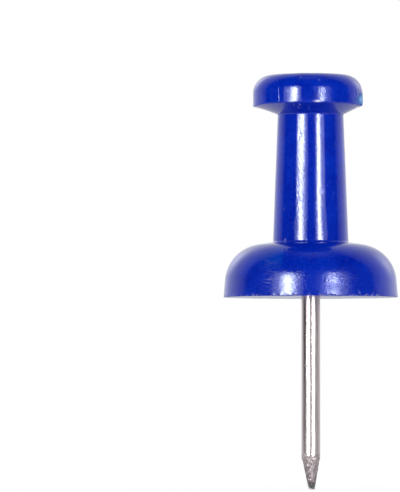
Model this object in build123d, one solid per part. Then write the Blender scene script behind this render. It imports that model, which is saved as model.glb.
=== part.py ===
from build123d import *
import os
from math import radians, tan

# Push pin: a spool-shaped plastic head, moulded round the barbed end of a ground steel pin.
# The pin's axis is Z with its point down, and Z = 0 is the flat underside of the flange.
# Lengths are in millimetres and angles in degrees.

# Flange, the broad foot that comes to rest on the board
flange_diameter = 10.0
flange_height = 3.16
flange_skirt_draft = 5.0
flange_top_slope = 8.5
flange_shoulder_radius = 2.24
flange_edge_radius = 0.05

# Stem, the tapered waist that finger and thumb hold
stem_foot_diameter = 4.33
stem_neck_diameter = 3.77
stem_length = 7.31
stem_blend_radius = 0.08

# Cap, the button that the thumb pushes
cap_diameter = 6.28
cap_rim_height = 1.62
cap_underside_slope = 25.0
cap_edge_radius = 1.0
cap_lip_radius = 0.1

# Free part of the steel pin, from the flange's underside to the point
wire_diameter = 1.08
free_length = 11.0
point_length = 1.91
tip_diameter = 0.32
tip_edge_radius = 0.07

# Shank of the steel pin, inside the head
shank_length = 8.0
shank_end_chamfer = 0.15
barb_count = 5
barb_pitch = 0.9
barb_depth = 0.12

# Room that the moulded socket leaves round the shank
socket_clearance = 0.01


def flange_shoulder_corner():
    """Where the drafted skirt and the sloping top of the flange would meet without the shoulder radius."""
    lean = tan(radians(flange_skirt_draft))
    slope = tan(radians(flange_top_slope))
    top_at_axis = flange_height + slope * stem_foot_diameter / 2
    radius = (flange_diameter / 2 - lean * top_at_axis) / (1 - lean * slope)
    return radius, top_at_axis - slope * radius


def turned(outline):
    """Solid of revolution about Z, from an open outline whose two ends lie on the axis."""
    axis_line = Line(outline @ 1, outline @ 0)
    return revolve(Plane.XZ * make_face([outline, axis_line]), Axis.Z)


def shank_corners(clearance):
    """Corners of the barbed shank, from the flange's underside up to its cropped end.

    Each barb narrows upwards from a square shoulder that faces down,
    so the shank goes into the head easily and resists being drawn out.
    """
    radius = wire_diameter / 2 + clearance
    corners = [(radius, 0)]
    for barb in range(1, barb_count + 1):
        corners.append((radius - barb_depth, barb * barb_pitch))
        corners.append((radius, barb * barb_pitch))
    end = shank_length + clearance
    corners.append((radius, end - shank_end_chamfer))
    corners.append((radius - shank_end_chamfer, end))
    corners.append((0, end))
    return corners


def steel_pin():
    """Straight drawn wire with a ground point below and the barbed shank above."""
    corners = [
        (0, -free_length),
        (tip_diameter / 2, -free_length),
        (wire_diameter / 2, point_length - free_length),
        *shank_corners(0),
    ]
    sharp_corners = len(corners) - 3
    return turned(FilletPolyline(*corners, radius=[tip_edge_radius] + [0] * sharp_corners))


def plastic_head():
    """Spool of flange, stem and cap in one moulding, with a socket of the shank's own form."""
    stem_neck_height = flange_height + stem_length
    cap_overhang = (cap_diameter - stem_neck_diameter) / 2
    cap_rim_base = stem_neck_height + cap_overhang * tan(radians(cap_underside_slope))
    cap_top = cap_rim_base + cap_rim_height
    spool = FilletPolyline(
        (0, 0),
        (flange_diameter / 2, 0),
        flange_shoulder_corner(),
        (stem_foot_diameter / 2, flange_height),
        (stem_neck_diameter / 2, stem_neck_height),
        (cap_diameter / 2, cap_rim_base),
        (cap_diameter / 2, cap_top),
        (0, cap_top),
        radius=[
            flange_edge_radius,
            flange_shoulder_radius,
            stem_blend_radius,
            stem_blend_radius,
            cap_lip_radius,
            cap_edge_radius,
        ],
    )
    socket = Polyline((0, 0), *shank_corners(socket_clearance))
    return turned(spool) - turned(socket)


os.makedirs("parts", exist_ok=True)
export_step(plastic_head(), "parts/plastic_head.step")
export_step(steel_pin(), "parts/steel_pin.step")
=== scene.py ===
from math import atan2, ceil, copysign, cos, degrees, exp, hypot, pi, radians, sin, sqrt, tan, tau

import bmesh
import bpy
from mathutils import Matrix, Vector, noise


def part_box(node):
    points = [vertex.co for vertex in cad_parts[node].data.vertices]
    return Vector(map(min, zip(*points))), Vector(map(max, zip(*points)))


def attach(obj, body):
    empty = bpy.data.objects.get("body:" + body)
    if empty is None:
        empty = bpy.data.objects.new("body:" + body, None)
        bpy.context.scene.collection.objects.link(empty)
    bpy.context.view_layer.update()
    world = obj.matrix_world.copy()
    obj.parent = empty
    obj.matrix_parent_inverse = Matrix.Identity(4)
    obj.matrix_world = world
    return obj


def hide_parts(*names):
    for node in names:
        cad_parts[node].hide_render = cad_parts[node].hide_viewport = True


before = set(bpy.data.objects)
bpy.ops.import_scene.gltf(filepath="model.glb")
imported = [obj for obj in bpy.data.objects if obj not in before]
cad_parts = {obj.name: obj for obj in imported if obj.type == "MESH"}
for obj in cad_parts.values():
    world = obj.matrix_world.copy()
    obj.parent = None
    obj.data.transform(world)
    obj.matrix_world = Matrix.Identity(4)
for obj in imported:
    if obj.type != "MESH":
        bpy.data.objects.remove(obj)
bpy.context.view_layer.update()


# Steel pin: drawn steel wire a little over a millimetre thick, plated bright with nickel. Its lower end is
# ground to a blunt point on a coarse wheel, and its barbed upper end is held fast in the moulded head.
mm = 0.001
micron = 0.001 * mm

pin_low, pin_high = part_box("steel_pin")
wire_radius = pin_high.x
tip_height = pin_low.z
shank_top = pin_high.z
point_length = 1.91 * mm
tip_radius = 0.16 * mm
tip_rounding = 0.07 * mm
shank_chamfer = 0.15 * mm
barb_count = 5
barb_pitch = 0.9 * mm
barb_depth = 0.12 * mm

# How finely the wire is divided, round it and along each stretch of it
wire_slices = 168
point_spacing = 0.03 * mm
wire_spacing = 0.04 * mm
scratch_spacing = 0.01 * mm
shank_spacing = 0.15 * mm

# Fine lines that the drawing die leaves along the wire
drawn_line_size = Vector((0.07, 0.07, 2.4)) * mm
drawn_line_depth = 0.9 * micron

# One scratch from handling, on the front of the wire: angles are in degrees from the front, and the slant is
# its fall for each degree round the wire
scratch_angle = -22
scratch_span = 20
scratch_height = -4.0 * mm
scratch_reach = 0.15 * mm
scratch_slant = 0.0025 * mm
scratch_width = 0.035 * mm
scratch_depth = 9 * micron

# The grinding wheel leaves four shallow flats with a scalloped, ragged border, and a coarse skin
flat_count = 4
flat_depth = 0.02 * mm
scallop_height = 0.12 * mm
border_raggedness = 0.13 * mm
border_fineness = 0.8
grit_size = Vector((0.085, 0.085, 0.13)) * mm
grit_depth = 22 * micron
chatter_width = 0.3 * mm
chatter_depth = 9 * micron

# The point is ground a little to one side, and its tip is nipped off: a flat that is turned slightly to the
# right, and an oblique end below it
point_aside = 0.05 * mm
nip_turn = radians(8)
nip_depth = 0.115 * mm
nip_lean = 0.16
nip_top = 0.4 * mm
nip_slant = 0.27
end_rise = 0.08 * mm
end_slant = 0.44
end_heel = 0.1 * mm
end_faces_down = -0.5
tip_margin = 0.01 * mm

# How far up the point the painted shade keeps the ground steel darkest, and between which shares of
# the wire's radius the plating on its right begins and ends to be worn
painted_shade_low = 0.5 * mm
worn_from = 0.3
worn_to = 0.65


def rounded_outline(corners, spacing):
    """Points along an outline of (radius, height, rounding) corners, no further apart than spacing."""
    fewest_steps = 5
    slack = 0.01
    places = [Vector(corner[:2]) for corner in corners]
    stops = [places[0]]
    for before, here, after, corner in zip(places, places[1:], places[2:], corners[1:]):
        arrive = (here - before).normalized()
        leave = (after - here).normalized()
        turn = atan2(arrive.cross(leave), arrive.dot(leave))
        side = Vector((-arrive.y, arrive.x)) * copysign(1, turn)
        rounding = corner[2]
        start = here - arrive * rounding * tan(abs(turn) / 2)
        steps = max(fewest_steps, ceil(rounding * abs(turn) / spacing)) if rounding else 0
        for step in range(steps + 1):
            angle = abs(turn) * step / max(steps, 1)
            stops.append(start + arrive * rounding * sin(angle) + side * rounding * (1 - cos(angle)))
    stops.append(places[-1])
    points = [stops[0]]
    for stop in stops[1:]:
        start = points[-1]
        pieces = ceil((stop - start).length / spacing - slack)
        points += [start.lerp(stop, piece / pieces) for piece in range(1, pieces + 1)]
    return points


def turned(outline, slices):
    """Closed mesh swept once round the axis from an outline whose two ends lie on it."""
    foot, *rings, crown = outline
    turns = [(sin(tau * step / slices), -cos(tau * step / slices)) for step in range(slices)]
    places = [
        (radius * across, radius * along, height)
        for radius, height in rings
        for across, along in turns
    ]
    foot_index = len(places)
    crown_index = foot_index + 1
    last_ring = foot_index - slices
    faces = []
    for here in range(slices):
        beside = (here + 1) % slices
        faces.append((foot_index, beside, here))
        faces.append((crown_index, last_ring + here, last_ring + beside))
        for ring in range(0, last_ring, slices):
            faces.append((ring + here, ring + beside, ring + slices + beside, ring + slices + here))
    mesh = bpy.data.meshes.new("turned")
    mesh.from_pydata(places + [(0, 0, foot.y), (0, 0, crown.y)], [], faces)
    shape = bmesh.new()
    shape.from_mesh(mesh)
    shape.normal_update()
    bpy.data.meshes.remove(mesh)
    return shape


def finished(name, shape, sharp_angle):
    """Object made from a mesh, smooth to the eye except along edges sharper than the angle."""
    mesh = bpy.data.meshes.new(name)
    shape.to_mesh(mesh)
    shape.free()
    mesh.shade_smooth()
    mesh.set_sharp_from_angle(angle=radians(sharp_angle))
    piece = bpy.data.objects.new(name, mesh)
    bpy.context.scene.collection.objects.link(piece)
    return piece


def shank_corners(clearance):
    """Corners of the barbed shank, from the flange's underside up to its cropped end on the axis."""
    radius = wire_radius + clearance
    end = shank_top + clearance
    corners = [(radius, 0, 0)]
    for barb in range(1, barb_count + 1):
        corners.append((radius - barb_depth, barb * barb_pitch, 0))
        corners.append((radius, barb * barb_pitch, 0))
    corners.append((radius, end - shank_chamfer, 0))
    corners.append((radius - shank_chamfer, end, 0))
    corners.append((0, end, 0))
    return corners


def round_angle(place):
    """Angle round the axis in degrees, from the front towards +X."""
    return degrees(atan2(place.x, -place.y))


def bell(distance, width):
    """1 at no distance, and falling smoothly to nothing beyond about twice the width."""
    return exp(-((distance / width) ** 2))


def in_grains(place, size):
    """A place measured in grains that have a size along X, Y and Z."""
    return Vector((place.x / size.x, place.y / size.y, place.z / size.z))


def flat_wave(place):
    """1 in the middle of the edge between two ground flats, -1 in the middle of a flat."""
    return cos(radians(flat_count * round_angle(place)))


def ground_start(place):
    """Height at which the ground point begins: lower between the flats, and ragged."""
    ragged = border_raggedness * noise.noise(in_grains(place, grit_size) * border_fineness)
    return tip_height + point_length - scallop_height * flat_wave(place) + ragged


def wire_stand_off(place):
    """How far drawing, handling and grinding leave the surface off the true wire and cone."""
    if place.z > ground_start(place):
        lines = drawn_line_depth * noise.noise(in_grains(place, drawn_line_size))
        turn = round_angle(place) - scratch_angle
        across = place.z - scratch_height + scratch_slant * turn
        scratch = scratch_depth * bell(turn, scratch_span) * bell(across, scratch_width)
        return lines - scratch
    grit = grit_depth * noise.noise(in_grains(place, grit_size))
    chatter = chatter_depth * noise.noise(place / chatter_width)
    return grit + chatter - flat_depth * (1 - flat_wave(place)) / 2


def ground_aside(place):
    """A place on the point, moved to the side by the amount that the wheel left it off centre."""
    share = 1 - (place.z - tip_height) / point_length
    return place + Vector((point_aside * max(0, share), 0, 0))


def nip_tip(place):
    """A place on the tip, moved to the nipped flat or the oblique end, and whether it is on the flat."""
    aside = Vector((point_aside, 0, 0))
    faced = Matrix.Rotation(-nip_turn, 3, "Z") @ (place - aside)
    above_tip = faced.z - tip_height
    front = nip_depth + nip_lean * (above_tip - nip_top / 2)
    on_flat = faced.y < -front and above_tip < nip_top - nip_slant * faced.x
    if on_flat:
        faced.y = -front
    end = (end_rise - end_slant * faced.x) * (end_heel - faced.y) / (end_heel + nip_depth)
    faced.z = max(faced.z, tip_height + min(end, nip_top / 2))
    return Matrix.Rotation(nip_turn, 3, "Z") @ faced + aside, on_flat


point_corners = [
    (0, tip_height, 0),
    (tip_radius, tip_height, tip_rounding),
    (wire_radius, tip_height + point_length, 0),
]
ground_top = tip_height + point_length + 2 * scallop_height
wire_outline = rounded_outline(point_corners, point_spacing)
wire_outline += rounded_outline([point_corners[-1], (wire_radius, ground_top, 0)], point_spacing)[1:]
stretches = [
    (ground_top, scratch_height - scratch_reach, wire_spacing),
    (scratch_height - scratch_reach, scratch_height + scratch_reach, scratch_spacing),
    (scratch_height + scratch_reach, 0, wire_spacing),
]
for low, high, spacing in stretches:
    wire_outline += rounded_outline([(wire_radius, low, 0), (wire_radius, high, 0)], spacing)[1:]
wire_outline += rounded_outline(shank_corners(0), shank_spacing)[1:]
pin_shape = turned(wire_outline, wire_slices)
free_low = tip_height + tip_margin
free_high = -wire_spacing
for vertex in pin_shape.verts:
    if free_low < vertex.co.z < free_high:
        vertex.co += vertex.normal * wire_stand_off(vertex.co)
    vertex.co = ground_aside(vertex.co)
    if vertex.co.z < tip_height + 2 * nip_top:
        vertex.co, vertex.tag = nip_tip(vertex.co)
pin_shape.normal_update()

bright_wire_skin, ground_skin, nipped_skin, end_skin = range(4)
for face in pin_shape.faces:
    middle = face.calc_center_median()
    if middle.z > ground_start(middle):
        face.material_index = bright_wire_skin
    elif all(vertex.tag for vertex in face.verts):
        face.material_index = nipped_skin
    elif face.normal.z < end_faces_down and middle.z < tip_height + nip_top:
        face.material_index = end_skin
    else:
        face.material_index = ground_skin


def new_skin(name):
    """New material, with its node tree and its shader."""
    material = bpy.data.materials.new(name)
    material.use_nodes = True
    tree = material.node_tree
    return material, tree, tree.nodes["Principled BSDF"]


def add(tree, kind, inputs, **settings):
    """New node with its settings made, and each input either set to a value or joined to a socket."""
    made = tree.nodes.new(kind)
    for name, value in settings.items():
        setattr(made, name, value)
    for name, value in inputs.items():
        if isinstance(value, bpy.types.NodeSocket):
            tree.links.new(value, made.inputs[name])
        else:
            made.inputs[name].default_value = value
    return made


def graded(tree, factor, stops):
    """Colour ramp over a factor, from (place, colour) stops."""
    ramp = add(tree, "ShaderNodeValToRGB", {"Fac": factor})
    elements = ramp.color_ramp.elements
    while len(elements) < len(stops):
        elements.new(0.5)
    for element, (place, colour) in zip(elements, stops):
        element.position = place
        element.color = (*colour, 1)
    return ramp.outputs["Color"]


def spread(tree, factor, low, high, first=0.3, last=0.7):
    """Number that runs from low to high as a factor runs from first to last, the usual range of noise."""
    settings = {"Value": factor, "From Min": first, "From Max": last, "To Min": low, "To Max": high}
    return add(tree, "ShaderNodeMapRange", settings).outputs["Result"]


def grain(tree, where, size, detail=1.0, tilt=0.0):
    """Noise from 0 to 1 with grains of a size along X, Y and Z, tilted in degrees as seen from the front."""
    settings = {"Vector": where, "Rotation": (0, radians(tilt), 0), "Scale": size}
    stretched = add(tree, "ShaderNodeMapping", settings, vector_type="TEXTURE").outputs["Vector"]
    settings = {"Vector": stretched, "Scale": 1.0, "Detail": detail}
    return add(tree, "ShaderNodeTexNoise", settings).outputs["Fac"]


def number(tree, operation, *values):
    """Result of one step of arithmetic on sockets or plain numbers."""
    return add(tree, "ShaderNodeMath", dict(enumerate(values)), operation=operation).outputs["Value"]


def metal_skin(name, tones, smooth, rough, grain_size, relief, painted_tip_shade=0.0, side_wear=0.0):
    """Metal with a grain that varies its tone, its polish and its height.

    It may darken towards the tip with painted shade, and be duller on the right, where the plating is worn.
    """
    streak_detail = 3.0
    shade_low = tip_height + painted_shade_low
    shade_high = tip_height + point_length
    material, tree, shader = new_skin(name)
    where = add(tree, "ShaderNodeTexCoord", {}).outputs["Object"]
    place = add(tree, "ShaderNodeSeparateXYZ", {"Vector": where}).outputs
    streaks = grain(tree, where, grain_size, streak_detail)
    # Painted shade: the tone darkens towards the tip
    shade = spread(tree, place["Z"], -painted_tip_shade, 0.0, shade_low, shade_high)
    tone = graded(tree, number(tree, "ADD", streaks, shade), tones)
    wear = spread(tree, place["X"], 0.0, side_wear, worn_from * wire_radius, worn_to * wire_radius)
    polish = number(tree, "ADD", spread(tree, streaks, smooth, rough), wear)
    shader.inputs["Metallic"].default_value = 1.0
    tree.links.new(tone, shader.inputs["Base Color"])
    tree.links.new(polish, shader.inputs["Roughness"])
    bump = add(tree, "ShaderNodeBump", {"Height": streaks, "Distance": relief})
    tree.links.new(bump.outputs["Normal"], shader.inputs["Normal"])
    return material


bright_wire = metal_skin(
    "bright_wire",
    tones=[(0.3, (0.53, 0.455, 0.455)), (0.7, (0.65, 0.6, 0.605))],
    smooth=0.19,
    rough=0.28,
    grain_size=(0.05 * mm, 0.05 * mm, 2.0 * mm),
    relief=0.6 * micron,
    side_wear=0.16,
)
ground_steel = metal_skin(
    "ground_steel",
    tones=[(0.25, (0.17, 0.14, 0.15)), (0.5, (0.46, 0.4, 0.41)), (0.68, (0.74, 0.68, 0.61))],
    smooth=0.29,
    rough=0.42,
    grain_size=(0.055 * mm, 0.055 * mm, 0.1 * mm),
    relief=15 * micron,
    # painted shade towards the tip
    painted_tip_shade=0.16,
)
nipped_steel = metal_skin(
    "nipped_steel",
    tones=[(0.3, (0.1, 0.105, 0.11)), (0.7, (0.14, 0.145, 0.15))],
    smooth=0.22,
    rough=0.35,
    grain_size=(0.05 * mm, 0.05 * mm, 0.12 * mm),
    relief=1 * micron,
)
bright_end = metal_skin(
    "bright_end",
    tones=[(0.35, (0.3, 0.27, 0.28)), (0.6, (0.85, 0.82, 0.83))],
    smooth=0.2,
    rough=0.3,
    grain_size=(0.05 * mm, 0.05 * mm, 0.05 * mm),
    relief=2 * micron,
)

steel_pin = finished("steel_pin_wire", pin_shape, sharp_angle=50)
for skin in (bright_wire, ground_steel, nipped_steel, bright_end):
    steel_pin.data.materials.append(skin)
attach(steel_pin, "root")
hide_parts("steel_pin")


# Plastic head: one glossy blue injection moulding, shaped as a spool with a broad flange, a tapered stem and
# a thick cap. It is moulded round the barbs of the pin, and keeps the marks of its mould and of its gate.
head_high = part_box("plastic_head")[1]
cap_top = head_high.z
flange_radius = 5.0 * mm
flange_height = 3.16 * mm
flange_edge = 0.05 * mm
shoulder_rounding = 2.24 * mm
stem_foot_radius = 2.165 * mm
stem_neck_radius = 1.885 * mm
stem_neck_height = 10.47 * mm
stem_blend = 0.08 * mm
cap_radius = 3.14 * mm
cap_rim_base = 11.055 * mm
cap_lip = 0.1 * mm
cap_rounding = 1.0 * mm
socket_clearance = 0.01 * mm

# Radius and height at which the skirt and the sloping top of the flange would meet without the rounding
shoulder_corner = (4.757 * mm, 2.773 * mm)

# How finely the head is divided, round it and along its outline
head_slices = 360
head_spacing = 0.088 * mm
underside_spacing = 0.4 * mm
underside_border = 0.4 * mm

# The two mould halves don't meet quite true: the cap sits a little to one side, and its lip hangs lower,
# with some flash on the left
cap_offset = -0.17 * mm
cap_rise = 0.055 * mm
cap_top_lean = 0.004
lip_drop = 0.05 * mm
lip_blend = 0.45 * mm
flash_drop = 0.1 * mm
flash_angle = -86
flash_span = 26

# Uneven cooling leaves a slow swell and a finer peel in the skin
swell_length = 2.6 * mm
swell_depth = 5 * micron
peel_length = 0.55 * mm
peel_depth = 1.2 * micron

# Where the gate was twisted off the cap, and the torn stub that it left
gate_angle = 75
gate_height = 11.27 * mm
gate_width = 1.1 * mm
gate_tall = 0.5 * mm
gate_stub = 0.05 * mm
stub_evenness = 0.5
tear_size = 0.2 * mm

# A broad swelling and two faint creases along the stem, which fade above its foot:
# angle, angle span, height at which it fades, stand-off
creases = [
    (4, 14, 3.9 * mm, 12 * micron),
    (-25.3, 3.2, 4.9 * mm, 7 * micron),
    (22.2, 2.4, 4.9 * mm, 5 * micron),
]
crease_fade = 0.15 * mm

# Nicks along the flange's lower edge, where a noise rises past its sound level
nick_length = 0.17 * mm
nick_depth = 0.09 * mm
nick_tall = 0.1 * mm
sound_level = 0.12

# Low swellings on the cap and the skirt, small nibs and pits on the stem, and chips at the flange's edge:
# angle, height, angle span, height span, stand-off
nibs = [
    (-9, 11.7 * mm, 9, 1.2 * mm, 20 * micron),
    (17, 11.7 * mm, 8, 1.2 * mm, 9 * micron),
    (17, 0.8 * mm, 8, 1.0 * mm, 10 * micron),
    (-19.6, 9.3 * mm, 1.2, 0.07 * mm, -17 * micron),
    (-17.4, 9.2 * mm, 1.2, 0.07 * mm, -17 * micron),
    (-20.8, 9.1 * mm, 1.2, 0.06 * mm, -14 * micron),
    (-59, 9.65 * mm, 2.0, 0.45 * mm, 4 * micron),
    (14.6, 6.0 * mm, 4.0, 0.12 * mm, -8 * micron),
    (31.4, 0.2 * mm, 1.1, 0.11 * mm, -60 * micron),
    (45, 0.12 * mm, 0.9, 0.09 * mm, -50 * micron),
    (51.3, 0.0 * mm, 0.8, 0.07 * mm, -80 * micron),
]

# Patches of wrinkled, dragged, dusty, hazed and scuffed skin, and painted glints:
# angle, height, angle span, height span, strength
wrinkle_spots = [
    (-5, 1.1 * mm, 6, 0.8 * mm, 1.0),
    (17, 0.95 * mm, 9, 0.9 * mm, 0.7),
    (-21, 4.8 * mm, 6, 1.0 * mm, 0.6),
    (12, 11.6 * mm, 7, 0.6 * mm, 0.6),
    (-12, 11.7 * mm, 9, 0.6 * mm, 0.25),
    (-20, 12.0 * mm, 7, 0.15 * mm, 0.8),
]
drag_spots = [
    (-20, 6.5 * mm, 6, 1.5 * mm, 1.0),
    (-20, 5.7 * mm, 5, 0.45 * mm, 1.7),
    (14, 11.6 * mm, 5, 0.5 * mm, 0.9),
]
dust_and_glint_spots = [
    # Pale specks on the cap
    (-12.5, 12.44 * mm, 1.0, 0.05 * mm, 0.1),
    (8.4, 12.3 * mm, 1.0, 0.05 * mm, 0.1),
    (-25.4, 11.66 * mm, 1.0, 0.05 * mm, 0.25),
    # Painted glints along the cap's lip
    (6.4, 11.07 * mm, 3.2, 0.045 * mm, 1.0),
    (-20.2, 11.07 * mm, 3.6, 0.04 * mm, 0.5),
    # Pale specks under the cap and at the stem's foot
    (-20.3, 10.9 * mm, 0.8, 0.04 * mm, 0.2),
    (-13.4, 10.9 * mm, 0.9, 0.04 * mm, 0.3),
    (-16.8, 10.74 * mm, 0.8, 0.04 * mm, 0.25),
    (-3.7, 10.74 * mm, 0.7, 0.04 * mm, 0.2),
    (-43.6, 3.25 * mm, 1.5, 0.05 * mm, 0.4),
    # Painted glints at the stem's foot
    (-8, 3.25 * mm, 1.3, 0.05 * mm, 0.4),
    (16.5, 3.26 * mm, 1.1, 0.05 * mm, 0.6),
    # Pale specks on the stem
    (44, 8.7 * mm, 1.1, 0.05 * mm, 0.08),
    (38, 5.9 * mm, 1.1, 0.05 * mm, 0.08),
    (-47, 5.0 * mm, 1.2, 0.05 * mm, 0.08),
]
haze_spots = [
    (18, 0.9 * mm, 10, 1.1 * mm, 0.45),
    (14, 0.45 * mm, 8, 0.35 * mm, 1.0),
    (14, 11.7 * mm, 8, 0.8 * mm, 0.6),
    (-1, 10.77 * mm, 30, 0.3 * mm, 2.1),
]
scuff_spots = [
    (-28, 0.75 * mm, 7, 0.45 * mm, 0.6),
    (-28, 1.3 * mm, 5, 0.3 * mm, 0.6),
    (-32, 1.9 * mm, 6, 0.3 * mm, 0.6),
    (19, 0.85 * mm, 9, 0.5 * mm, 0.6),
]

# Line where the mould split, an upright plane to the left of the axis that is turned and leans slightly, and
# the painted sheen that pales the colour beside it, on the shoulder: angle, height, angle span, height span
split_offset = -0.85 * mm
split_turn = 0.164
split_lean = 0.053
split_width = 0.035 * mm
painted_sheen_spot = (-27, 2.25 * mm, 13, 0.65 * mm)

# How strongly the turning marks of the mould show on each stretch of the head
stem_turning = 1.0
skirt_turning = 0.8
shoulder_turning = 0.1
cap_turning = 0.4
skirt_top = 2.0 * mm
skirt_fade = 0.5 * mm


def patch(place, angle, height, angle_span, height_span):
    """1 at a spot on the head given by its angle and its height, 0 well away from it."""
    furthest_spans = 3
    rise = (place.z - height) / height_span
    if abs(rise) > furthest_spans:
        return 0
    turn = (round_angle(place) - angle + 180) % 360 - 180
    return exp(-((turn / angle_span) ** 2) - rise**2)


def strongest(place, spots):
    """Strength of the strongest of several spots at a place."""
    return max(strength * patch(place, *spot) for *spot, strength in spots)


def bruised(place):
    """1 at the middle of the gate mark, 0 well away from it and on the inner parts of the head."""
    across = radians(round_angle(place) - gate_angle) * cap_radius
    if place.z < cap_rim_base - 2 * lip_drop:
        return 0
    return bell(across, gate_width) * bell(place.z - gate_height, gate_tall)


def nicked(place):
    """How deep the lower edge of the flange is nicked, from 0 to about 0.5."""
    if place.z > 3 * nick_tall or hypot(place.x, place.y) < flange_radius - 2 * nick_tall:
        return 0
    return max(0, noise.noise(place / nick_length) - sound_level) * bell(place.z, nick_tall)


def wrinkled(place):
    """How strongly the skin is wrinkled, where the plastic froze first."""
    return strongest(place, wrinkle_spots)


def dragged(place):
    """How strongly the skin was dragged as the moulding left the mould."""
    return strongest(place, drag_spots)


def dust_and_glints(place):
    """How strongly a moulded-in mote of dust shows pale, or a painted glint on the cap's lip or stem's foot.
    """
    return strongest(place, dust_and_glint_spots)


def hazed(place):
    """How strongly the gloss is hazed, where the plastic cooled slowly, and matt under the cap."""
    return strongest(place, haze_spots)


def scuffed(place):
    """How strongly the skin is scuffed from handling."""
    return strongest(place, scuff_spots)


def painted_sheen(place):
    """How strongly a painted sheen pales the colour beside the mould's split line, on the flange."""
    past_split = place.x - split_turn * place.y + split_lean * place.z > split_offset
    if past_split or place.z > flange_height:
        return 0
    return patch(place, *painted_sheen_spot)


def turning(place):
    """How strongly the turning marks of the mould show."""
    if place.z > flange_height:
        return stem_turning if place.z < stem_neck_height else cap_turning
    share = min(1, max(0, (skirt_top - place.z) / skirt_fade))
    return shoulder_turning + share * (skirt_turning - shoulder_turning)


def creased(place):
    """How far the swelling and the creases stand off the stem."""
    if not flange_height < place.z < stem_neck_height:
        return 0
    angle = round_angle(place)
    total = 0
    for crest, span, foot, stand_off in creases:
        fade = 1 / (1 + exp((foot - place.z) / crease_fade))
        total += stand_off * fade * bell(angle - crest, span)
    return total


def head_stand_off(place):
    """How far the moulded skin stands off its drawn outline."""
    swell = swell_depth * noise.noise(place / swell_length)
    peel = peel_depth * noise.noise(place / peel_length)
    stub = gate_stub * bruised(place) * (stub_evenness + noise.noise(place / tear_size))
    marks = sum(stand_off * patch(place, *spot) for *spot, stand_off in nibs)
    return swell + peel + stub + marks + creased(place) - nick_depth * nicked(place)


def mould_mismatch(place):
    """A place on the cap, moved by the amount that the mould halves are out of line."""
    below = min(1, max(0, (place.z - stem_neck_height) / (cap_rim_base - stem_neck_height)))
    above = min(1, max(0, (place.z - cap_rim_base) / (cap_top - cap_rim_base)))
    fade = min(1, max(0, 1 - (place.z - cap_rim_base) / lip_blend))
    flash = flash_drop * bell(round_angle(place) - flash_angle, flash_span) * below**3
    rise = above * (cap_rise + cap_top_lean * place.x) - fade * (lip_drop * below + flash)
    return place + Vector((below * cap_offset, 0, rise))


socket_corners = shank_corners(socket_clearance)[::-1]
border_corner = (flange_radius - underside_border, 0, 0)
spool_corners = [
    border_corner,
    (flange_radius, 0, flange_edge),
    (*shoulder_corner, shoulder_rounding),
    (stem_foot_radius, flange_height, stem_blend),
    (stem_neck_radius, stem_neck_height, stem_blend),
    (cap_radius, cap_rim_base, cap_lip),
    (cap_radius, cap_top, cap_rounding),
    (0, cap_top, 0),
]
head_outline = rounded_outline(socket_corners, underside_spacing)
head_outline += rounded_outline([socket_corners[-1], border_corner], underside_spacing)[1:]
head_outline += rounded_outline(spool_corners, head_spacing)[1:]
head_shape = turned(head_outline, head_slices)
socket_reach = wire_radius + 2 * socket_clearance
for vertex in head_shape.verts:
    in_socket = hypot(vertex.co.x, vertex.co.y) < socket_reach and vertex.co.z < stem_neck_height
    if not in_socket:
        vertex.co += vertex.normal * head_stand_off(vertex.co)
        vertex.co = mould_mismatch(vertex.co)
head_shape.normal_update()

# Names of the marks that the material reads, each with the function that gives its strength
skin_marks = {
    "bruised": bruised,
    "nicked": nicked,
    "wrinkled": wrinkled,
    "dragged": dragged,
    "scuffed": scuffed,
    "dust_and_glints": dust_and_glints,
    "hazed": hazed,
    "painted_sheen": painted_sheen,
    "turning": turning,
}

# Sizes of the grain of the pigment and of each mark, along X, Y and Z
cloud_size = (1.4 * mm,) * 3
cloud_detail = 2.0
speckle_size = (0.16 * mm,) * 3
speckle_detail = 4.0
dust_size = (0.085 * mm,) * 3
peel_size = (0.14 * mm,) * 3
turning_size = (0.2 * mm, 0.2 * mm, 0.075 * mm)
turning_detail = 0.0
drag_size = (0.075 * mm, 0.075 * mm, 0.7 * mm)
drag_detail = 1.0
drag_tilt = -17
scuff_size = (0.5 * mm, 0.5 * mm, 0.045 * mm)

# Levels between which a grain begins to show a scuff, a tear or dust, and shows it fully
scuff_levels = (0.5, 0.64)
tear_levels = (0.95, 1.08)
dust_levels = (0.67, 0.76)

# How much each mark takes up of the paler colour that goes with it
painted_sheen_strength = 0.09
scuff_paleness = 0.09
nick_paleness = 0.6
dust_paleness = 0.05

# Roughness of the polished skin, and how much each mark adds to it
polish_levels = (0.06, 0.09)
turning_dullness = 0.02
haze_dullness = 0.13
scuff_dullness = 0.35
nick_dullness = 0.8
tear_dullness = 0.45
skirt_dullness = 0.03
satin_heights = (1.2 * mm, 2.2 * mm)
underside_dullness = 0.08
underside_fade = 0.04 * mm

# Strength of the gloss on sound skin and where the haze is full
sound_gloss = 0.5
hazed_gloss = 0.05
full_haze = 2.1

# Height of each mark in microns
peel_height = 1.0
wrinkle_height = 19.0
turning_height = 4.8
drag_height = 11.0
scuff_height = 3.0
split_height = 12.0

gloss_tint = (0.9, 0.97, 1.0, 1)
painted_sheen_colour = (0.0, 0.26, 0.8, 1)
pale_colour = (0.8, 0.82, 0.9, 1)


def fading(tree, distance, width):
    """1 at no distance, and falling smoothly to nothing beyond about twice the width."""
    square = number(tree, "MULTIPLY", distance, distance)
    return number(tree, "EXPONENT", number(tree, "MULTIPLY", square, -1 / width**2))


def mixed(tree, share, first, second):
    """Colour that goes from the first to the second as a share goes from 0 to 1."""
    colours = {0: share, 6: first, 7: second}
    return add(tree, "ShaderNodeMix", colours, data_type="RGBA").outputs[2]


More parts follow.
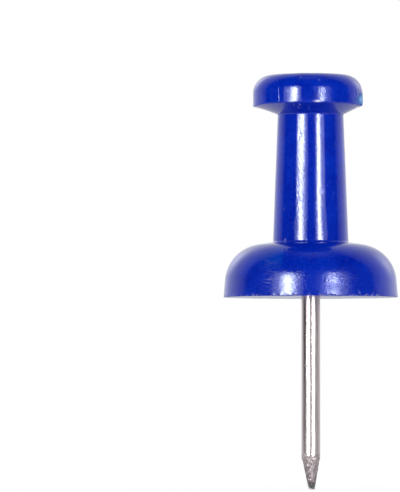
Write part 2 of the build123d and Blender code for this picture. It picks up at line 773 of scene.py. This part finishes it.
blue_plastic, tree, shader = new_skin("blue_plastic")
shader.inputs["IOR"].default_value = 1.5
shader.inputs["Specular Tint"].default_value = gloss_tint
where = add(tree, "ShaderNodeTexCoord", {}).outputs["Object"]
height = add(tree, "ShaderNodeSeparateXYZ", {"Vector": where}).outputs["Z"]
marks = {}
for mark in skin_marks:
    marks[mark] = add(tree, "ShaderNodeAttribute", {}, attribute_name=mark).outputs["Fac"]
clouds = grain(tree, where, cloud_size, cloud_detail)
speckle = grain(tree, where, speckle_size, speckle_detail)
streaks = spread(tree, grain(tree, where, scuff_size), 0.0, 1.0, *scuff_levels)
scuffs = number(tree, "MULTIPLY", streaks, marks["scuffed"])

# Colour: pigment in slow clouds, paler beside the split line with painted sheen, azure where the gate tore,
# and pale where the skin is nicked, scuffed or dusty, and at painted glints on the cap's lip and stem's foot
mottle = number(tree, "MULTIPLY", number(tree, "ADD", clouds, speckle), 0.5)
pigment = graded(tree, mottle, [(0.38, (0.0, 0.0135, 0.37)), (0.62, (0.0, 0.026, 0.48))])
tear = number(tree, "ADD", marks["bruised"], speckle)
torn_share = spread(tree, tear, 0.0, 1.0, *tear_levels)
torn = graded(
    tree,
    number(tree, "MULTIPLY", tear, 0.5),
    [(0.54, (0.0, 0.05, 0.4)), (0.66, (0.01, 0.16, 0.56)), (0.76, (0.16, 0.4, 0.78))],
)
# Painted sheen: a paler colour beside the split line on the shoulder
painted_sheen_share = number(tree, "MULTIPLY", marks["painted_sheen"], painted_sheen_strength)
skin_colour = mixed(tree, torn_share, mixed(tree, painted_sheen_share, pigment, painted_sheen_colour), torn)
dust = spread(tree, grain(tree, where, dust_size), 0.0, dust_paleness, *dust_levels)
scuffed_share = number(tree, "MULTIPLY_ADD", scuffs, scuff_paleness, dust)
worn_share = number(tree, "MULTIPLY_ADD", marks["nicked"], nick_paleness, scuffed_share)
pale_share = number(tree, "MINIMUM", number(tree, "ADD", marks["dust_and_glints"], worn_share), 1.0)
colour = mixed(tree, pale_share, skin_colour, pale_colour)
tree.links.new(colour, shader.inputs["Base Color"])

# Gloss: high, but duller where the mould was turned, on the satin skirt and the matt underside, and where
# the skin is hazed or worn
polish = spread(tree, clouds, *polish_levels)
turned_polish = number(tree, "MULTIPLY_ADD", marks["turning"], turning_dullness, polish)
hazed_polish = number(tree, "MULTIPLY_ADD", marks["hazed"], haze_dullness, turned_polish)
worn_polish = number(tree, "MULTIPLY_ADD", scuffs, scuff_dullness, hazed_polish)
nicked_polish = number(tree, "MULTIPLY_ADD", marks["nicked"], nick_dullness, worn_polish)
torn_polish = number(tree, "MULTIPLY_ADD", torn_share, tear_dullness, nicked_polish)
satin_skirt = spread(tree, height, skirt_dullness, 0.0, *satin_heights)
matt_underside = spread(tree, height, underside_dullness, 0.0, 0.0, underside_fade)
satin_polish = number(tree, "ADD", torn_polish, satin_skirt)
tree.links.new(number(tree, "ADD", satin_polish, matt_underside), shader.inputs["Roughness"])
gloss = spread(tree, marks["hazed"], sound_gloss, hazed_gloss, 0.0, full_haze)
tree.links.new(gloss, shader.inputs["Specular IOR Level"])

# Relief, in microns: fine peel and wrinkles, turning marks, drag marks, scuffs and the mould's split line
peel_heights = number(tree, "MULTIPLY_ADD", marks["wrinkled"], wrinkle_height, peel_height)
relief = number(tree, "MULTIPLY", grain(tree, where, peel_size), peel_heights)
turned_lines = grain(tree, where, turning_size, turning_detail)
turning_heights = number(tree, "MULTIPLY", marks["turning"], turning_height)
relief = number(tree, "MULTIPLY_ADD", turned_lines, turning_heights, relief)
drag_lines = grain(tree, where, drag_size, drag_detail, drag_tilt)
drag_heights = number(tree, "MULTIPLY", marks["dragged"], drag_height)
relief = number(tree, "MULTIPLY_ADD", drag_lines, drag_heights, relief)
relief = number(tree, "MULTIPLY_ADD", scuffs, scuff_height, relief)
split_facing = (1, -split_turn, split_lean)
split_way = add(tree, "ShaderNodeVectorMath", {0: where, 1: split_facing}, operation="DOT_PRODUCT")
split_near = fading(tree, number(tree, "SUBTRACT", split_way.outputs["Value"], split_offset), split_width)
split_strength = graded(
    tree,
    number(tree, "DIVIDE", height, cap_top),
    [
        (0.14, (0.0,) * 3),
        (0.18, (0.25,) * 3),
        (0.22, (0.25,) * 3),
        (0.235, (0.02,) * 3),
        (0.865, (0.02,) * 3),
        (0.88, (1.0,) * 3),
        (0.95, (0.7,) * 3),
        (1.0, (0.2,) * 3),
    ],
)
split_ridge = number(tree, "MULTIPLY", split_near, split_strength)
relief = number(tree, "MULTIPLY_ADD", split_ridge, split_height, relief)
bump = add(tree, "ShaderNodeBump", {"Height": relief, "Distance": micron})
tree.links.new(bump.outputs["Normal"], shader.inputs["Normal"])

plastic_head = finished("plastic_head_spool", head_shape, sharp_angle=50)
plastic_head.data.materials.append(blue_plastic)
for mark, strength in skin_marks.items():
    layer = plastic_head.data.attributes.new(mark, "FLOAT", "POINT")
    layer.data.foreach_set("value", [strength(vertex.co) for vertex in plastic_head.data.vertices])
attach(plastic_head, "root")
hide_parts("plastic_head")


# Floor: a small round table top of matt white board under the pin's point. It glows for the camera, so that
# it reads as white with the pin's own shadow on it, and less in reflections.
floor_radius = 0.13
floor_slices = 96
floor_gap = 2 * micron
mirrored_glow = 0.4
inner_glow = 0.5
outer_glow = 0.58
glow_start = 0.02
glow_end = 0.1
floor_shape = bmesh.new()
bmesh.ops.create_circle(floor_shape, cap_ends=True, segments=floor_slices, radius=floor_radius)
floor = finished("floor_board", floor_shape, sharp_angle=30)
floor.location.z = tip_height - floor_gap
white_board, tree, shader = new_skin("white_board")
shader.inputs["Base Color"].default_value = (0.85, 0.85, 0.85, 1)
shader.inputs["Roughness"].default_value = 0.9
shader.inputs["Specular IOR Level"].default_value = 0.0
shader.inputs["Emission Color"].default_value = (1, 1, 1, 1)
path = add(tree, "ShaderNodeLightPath", {})
in_mirrors = number(tree, "MULTIPLY", path.outputs["Is Glossy Ray"], mirrored_glow)
shown = number(tree, "ADD", path.outputs["Is Camera Ray"], in_mirrors)
board_place = add(tree, "ShaderNodeTexCoord", {}).outputs["Object"]
reach = add(tree, "ShaderNodeVectorMath", {0: board_place}, operation="LENGTH").outputs["Value"]
glow = spread(tree, reach, inner_glow, outer_glow, glow_start, glow_end)
tree.links.new(number(tree, "MULTIPLY", shown, glow), shader.inputs["Emission Strength"])
floor.data.materials.append(white_board)


# Light: two square softboxes stand left and right of the camera, each with a bright middle. What they show
# in the gloss and what they throw on matt surfaces are set apart, so that colours keep their own values.
box_distance = 0.45
left_angle = -33
left_hot_angle = -32.2
left_hot_spread = 5.2
left_inner_border = 0.03
right_angle = 30.5
right_hot_angle = 27.6
right_hot_spread = 4.3
right_inner_border = 0.45
hot_tall = 9.0
box_height_angle = 8
box_reach = 20.5
box_border = 0.03
box_radiance = 1.9
hot_radiance = 35.0
throw = 0.76
throw_height_angle = -4

box_side = 2 * box_distance * tan(radians(box_reach))
box_energy = box_radiance * pi * box_side**2


def put_lamp(name, angle, height_angle, energy):
    """Square area lamp that faces the middle of the head, at an angle to the camera."""
    lamp = bpy.data.lights.new(name, "AREA")
    lamp.size = box_side
    lamp.energy = energy
    holder = bpy.data.objects.new(name, lamp)
    across = radians(angle)
    up = radians(height_angle)
    holder.location = box_distance * Vector((sin(across) * cos(up), -cos(across) * cos(up), sin(up)))
    holder.rotation_euler = (-holder.location).to_track_quat("-Z", "Y").to_euler()
    holder.visible_camera = False
    bpy.context.scene.collection.objects.link(holder)
    return holder


def hot_middle(lamp, angle, off_middle, hot_spread, inner_border):
    """Gives a softbox a bright middle on an evenly lit cloth, which may fade towards the camera."""
    cloth_middle = 0.5
    lamp.use_nodes = True
    tree = lamp.node_tree
    shift = box_distance * tan(radians(off_middle)) / box_side
    width = sqrt(2) * box_distance * tan(radians(hot_spread)) / box_side
    tall = sqrt(2) * box_distance * tan(radians(hot_tall)) / box_side
    cloth = add(tree, "ShaderNodeNewGeometry", {}).outputs["Parametric"]
    place = add(tree, "ShaderNodeSeparateXYZ", {"Vector": cloth})
    across = number(tree, "SUBTRACT", place.outputs["X"], cloth_middle)
    up = number(tree, "SUBTRACT", place.outputs["Y"], cloth_middle)
    off_hot = number(tree, "SUBTRACT", across, shift)
    hot = number(tree, "MULTIPLY", fading(tree, off_hot, width), fading(tree, up, tall))
    outermost = number(tree, "MAXIMUM", number(tree, "ABSOLUTE", across), number(tree, "ABSOLUTE", up))
    border = spread(tree, outermost, 1.0, 0.0, cloth_middle - box_border, cloth_middle)
    inward = number(tree, "MULTIPLY", across, -copysign(1, angle))
    inner_fade = spread(tree, inward, 1.0, 0.0, cloth_middle - inner_border, cloth_middle)
    evenly_lit = number(tree, "MULTIPLY", border, inner_fade)
    level = number(tree, "MULTIPLY_ADD", hot, hot_radiance / box_radiance, evenly_lit)
    tree.links.new(level, tree.nodes["Emission"].inputs["Strength"])


for side_name, angle, hot_angle, hot_spread, inner_border in (
    ("left", left_angle, left_hot_angle, left_hot_spread, left_inner_border),
    ("right", right_angle, right_hot_angle, right_hot_spread, right_inner_border),
):
    softbox = put_lamp("softbox_" + side_name, angle, box_height_angle, box_energy)
    hot_middle(softbox.data, angle, hot_angle - angle, hot_spread, inner_border)
    softbox.visible_diffuse = False
    thrown = put_lamp("softbox_throw_" + side_name, angle, throw_height_angle, throw)
    thrown.visible_glossy = False

# A white sheet hangs behind the pin, and the room round the camera is dark. Two pools of light on the sheet
# and a faint one overhead each have a way, a width and a radiance.
sheet_way = (0.061, 0.998, 0)
pools = [
    ((-0.42, 0.83, 0.36), 0.2, 1.1),
    ((0.6, 0.72, 0.33), 0.2, 1.1),
    ((0.05, 0.0, 0.99), 0.24, 0.42),
]
world = bpy.data.worlds.new("studio")
bpy.context.scene.world = world
world.use_nodes = True
tree = world.node_tree
background = tree.nodes["Background"]
background.inputs["Color"].default_value = (1, 1, 1, 1)
way = add(tree, "ShaderNodeTexCoord", {}).outputs["Generated"]
parts = add(tree, "ShaderNodeSeparateXYZ", {"Vector": way})
towards_sheet = add(tree, "ShaderNodeVectorMath", {0: way, 1: sheet_way}, operation="DOT_PRODUCT")
behind = spread(tree, towards_sheet.outputs["Value"], 0.0, 1.0, -1.0, 1.0)
sheet = graded(
    tree,
    behind,
    [
        (0.54, (0.005,) * 3),
        (0.555, (0.2,) * 3),
        (0.59, (0.4,) * 3),
        (0.65, (0.6,) * 3),
        (0.71, (0.82,) * 3),
        (0.83, (0.98,) * 3),
        (1.0, (1.0,) * 3),
    ],
)
overhead = graded(
    tree,
    parts.outputs["Z"],
    [
        (0.12, (1.0,) * 3),
        (0.5, (0.95,) * 3),
        (0.88, (0.8,) * 3),
        (0.99, (0.0,) * 3),
    ],
)
studio = number(tree, "MULTIPLY", sheet, overhead)
for pool_way, pool_width, pool_radiance in pools:
    off_pool = add(tree, "ShaderNodeVectorMath", {0: way, 1: pool_way}, operation="DISTANCE")
    pool = fading(tree, off_pool.outputs["Value"], pool_width)
    studio = number(tree, "MULTIPLY_ADD", pool, pool_radiance, studio)

# Matt surfaces get an even light from all round, and less from above
upwards = spread(tree, parts.outputs["Z"], 0.0, 1.0, -1.0, 1.0)
room_light = graded(
    tree,
    upwards,
    [
        (0.0, (1.0,) * 3),
        (0.3, (1.15,) * 3),
        (0.5, (1.2,) * 3),
        (0.75, (0.78,) * 3),
        (1.0, (0.2,) * 3),
    ],
)
path = add(tree, "ShaderNodeLightPath", {})
mirrored = number(tree, "MAXIMUM", path.outputs["Is Glossy Ray"], path.outputs["Is Transmission Ray"])
unseen = add(tree, "ShaderNodeMix", {"Factor": mirrored, "A": room_light, "B": studio}).outputs["Result"]
seen = {"Factor": path.outputs["Is Camera Ray"], "A": unseen, "B": 1.0}
tree.links.new(add(tree, "ShaderNodeMix", seen).outputs["Result"], background.inputs["Strength"])


# Camera: far off with a long lens, level with the middle of the free wire and looking slightly up, as small
# goods are photographed for a catalogue. The pin stands in the right half of the picture.
camera_distance = 0.29
camera_aside = -6.34 * mm
camera_height = -5.5 * mm
aim_height = 2.94 * mm
view_height = 28.17 * mm
nearest_seen = 0.01
camera_place = Vector((camera_aside, -camera_distance, camera_height))
camera_aim = Vector((camera_aside, 0, aim_height))
camera = bpy.data.objects.new("camera", bpy.data.cameras.new("camera"))
camera.location = camera_place
camera.rotation_euler = (camera_aim - camera_place).to_track_quat("-Z", "Y").to_euler()
camera.data.lens = camera.data.sensor_width * camera_distance / view_height
camera.data.clip_start = nearest_seen
bpy.context.scene.collection.objects.link(camera)
bpy.context.scene.camera = camera
bpy.context.scene.view_settings.view_transform = "Standard"
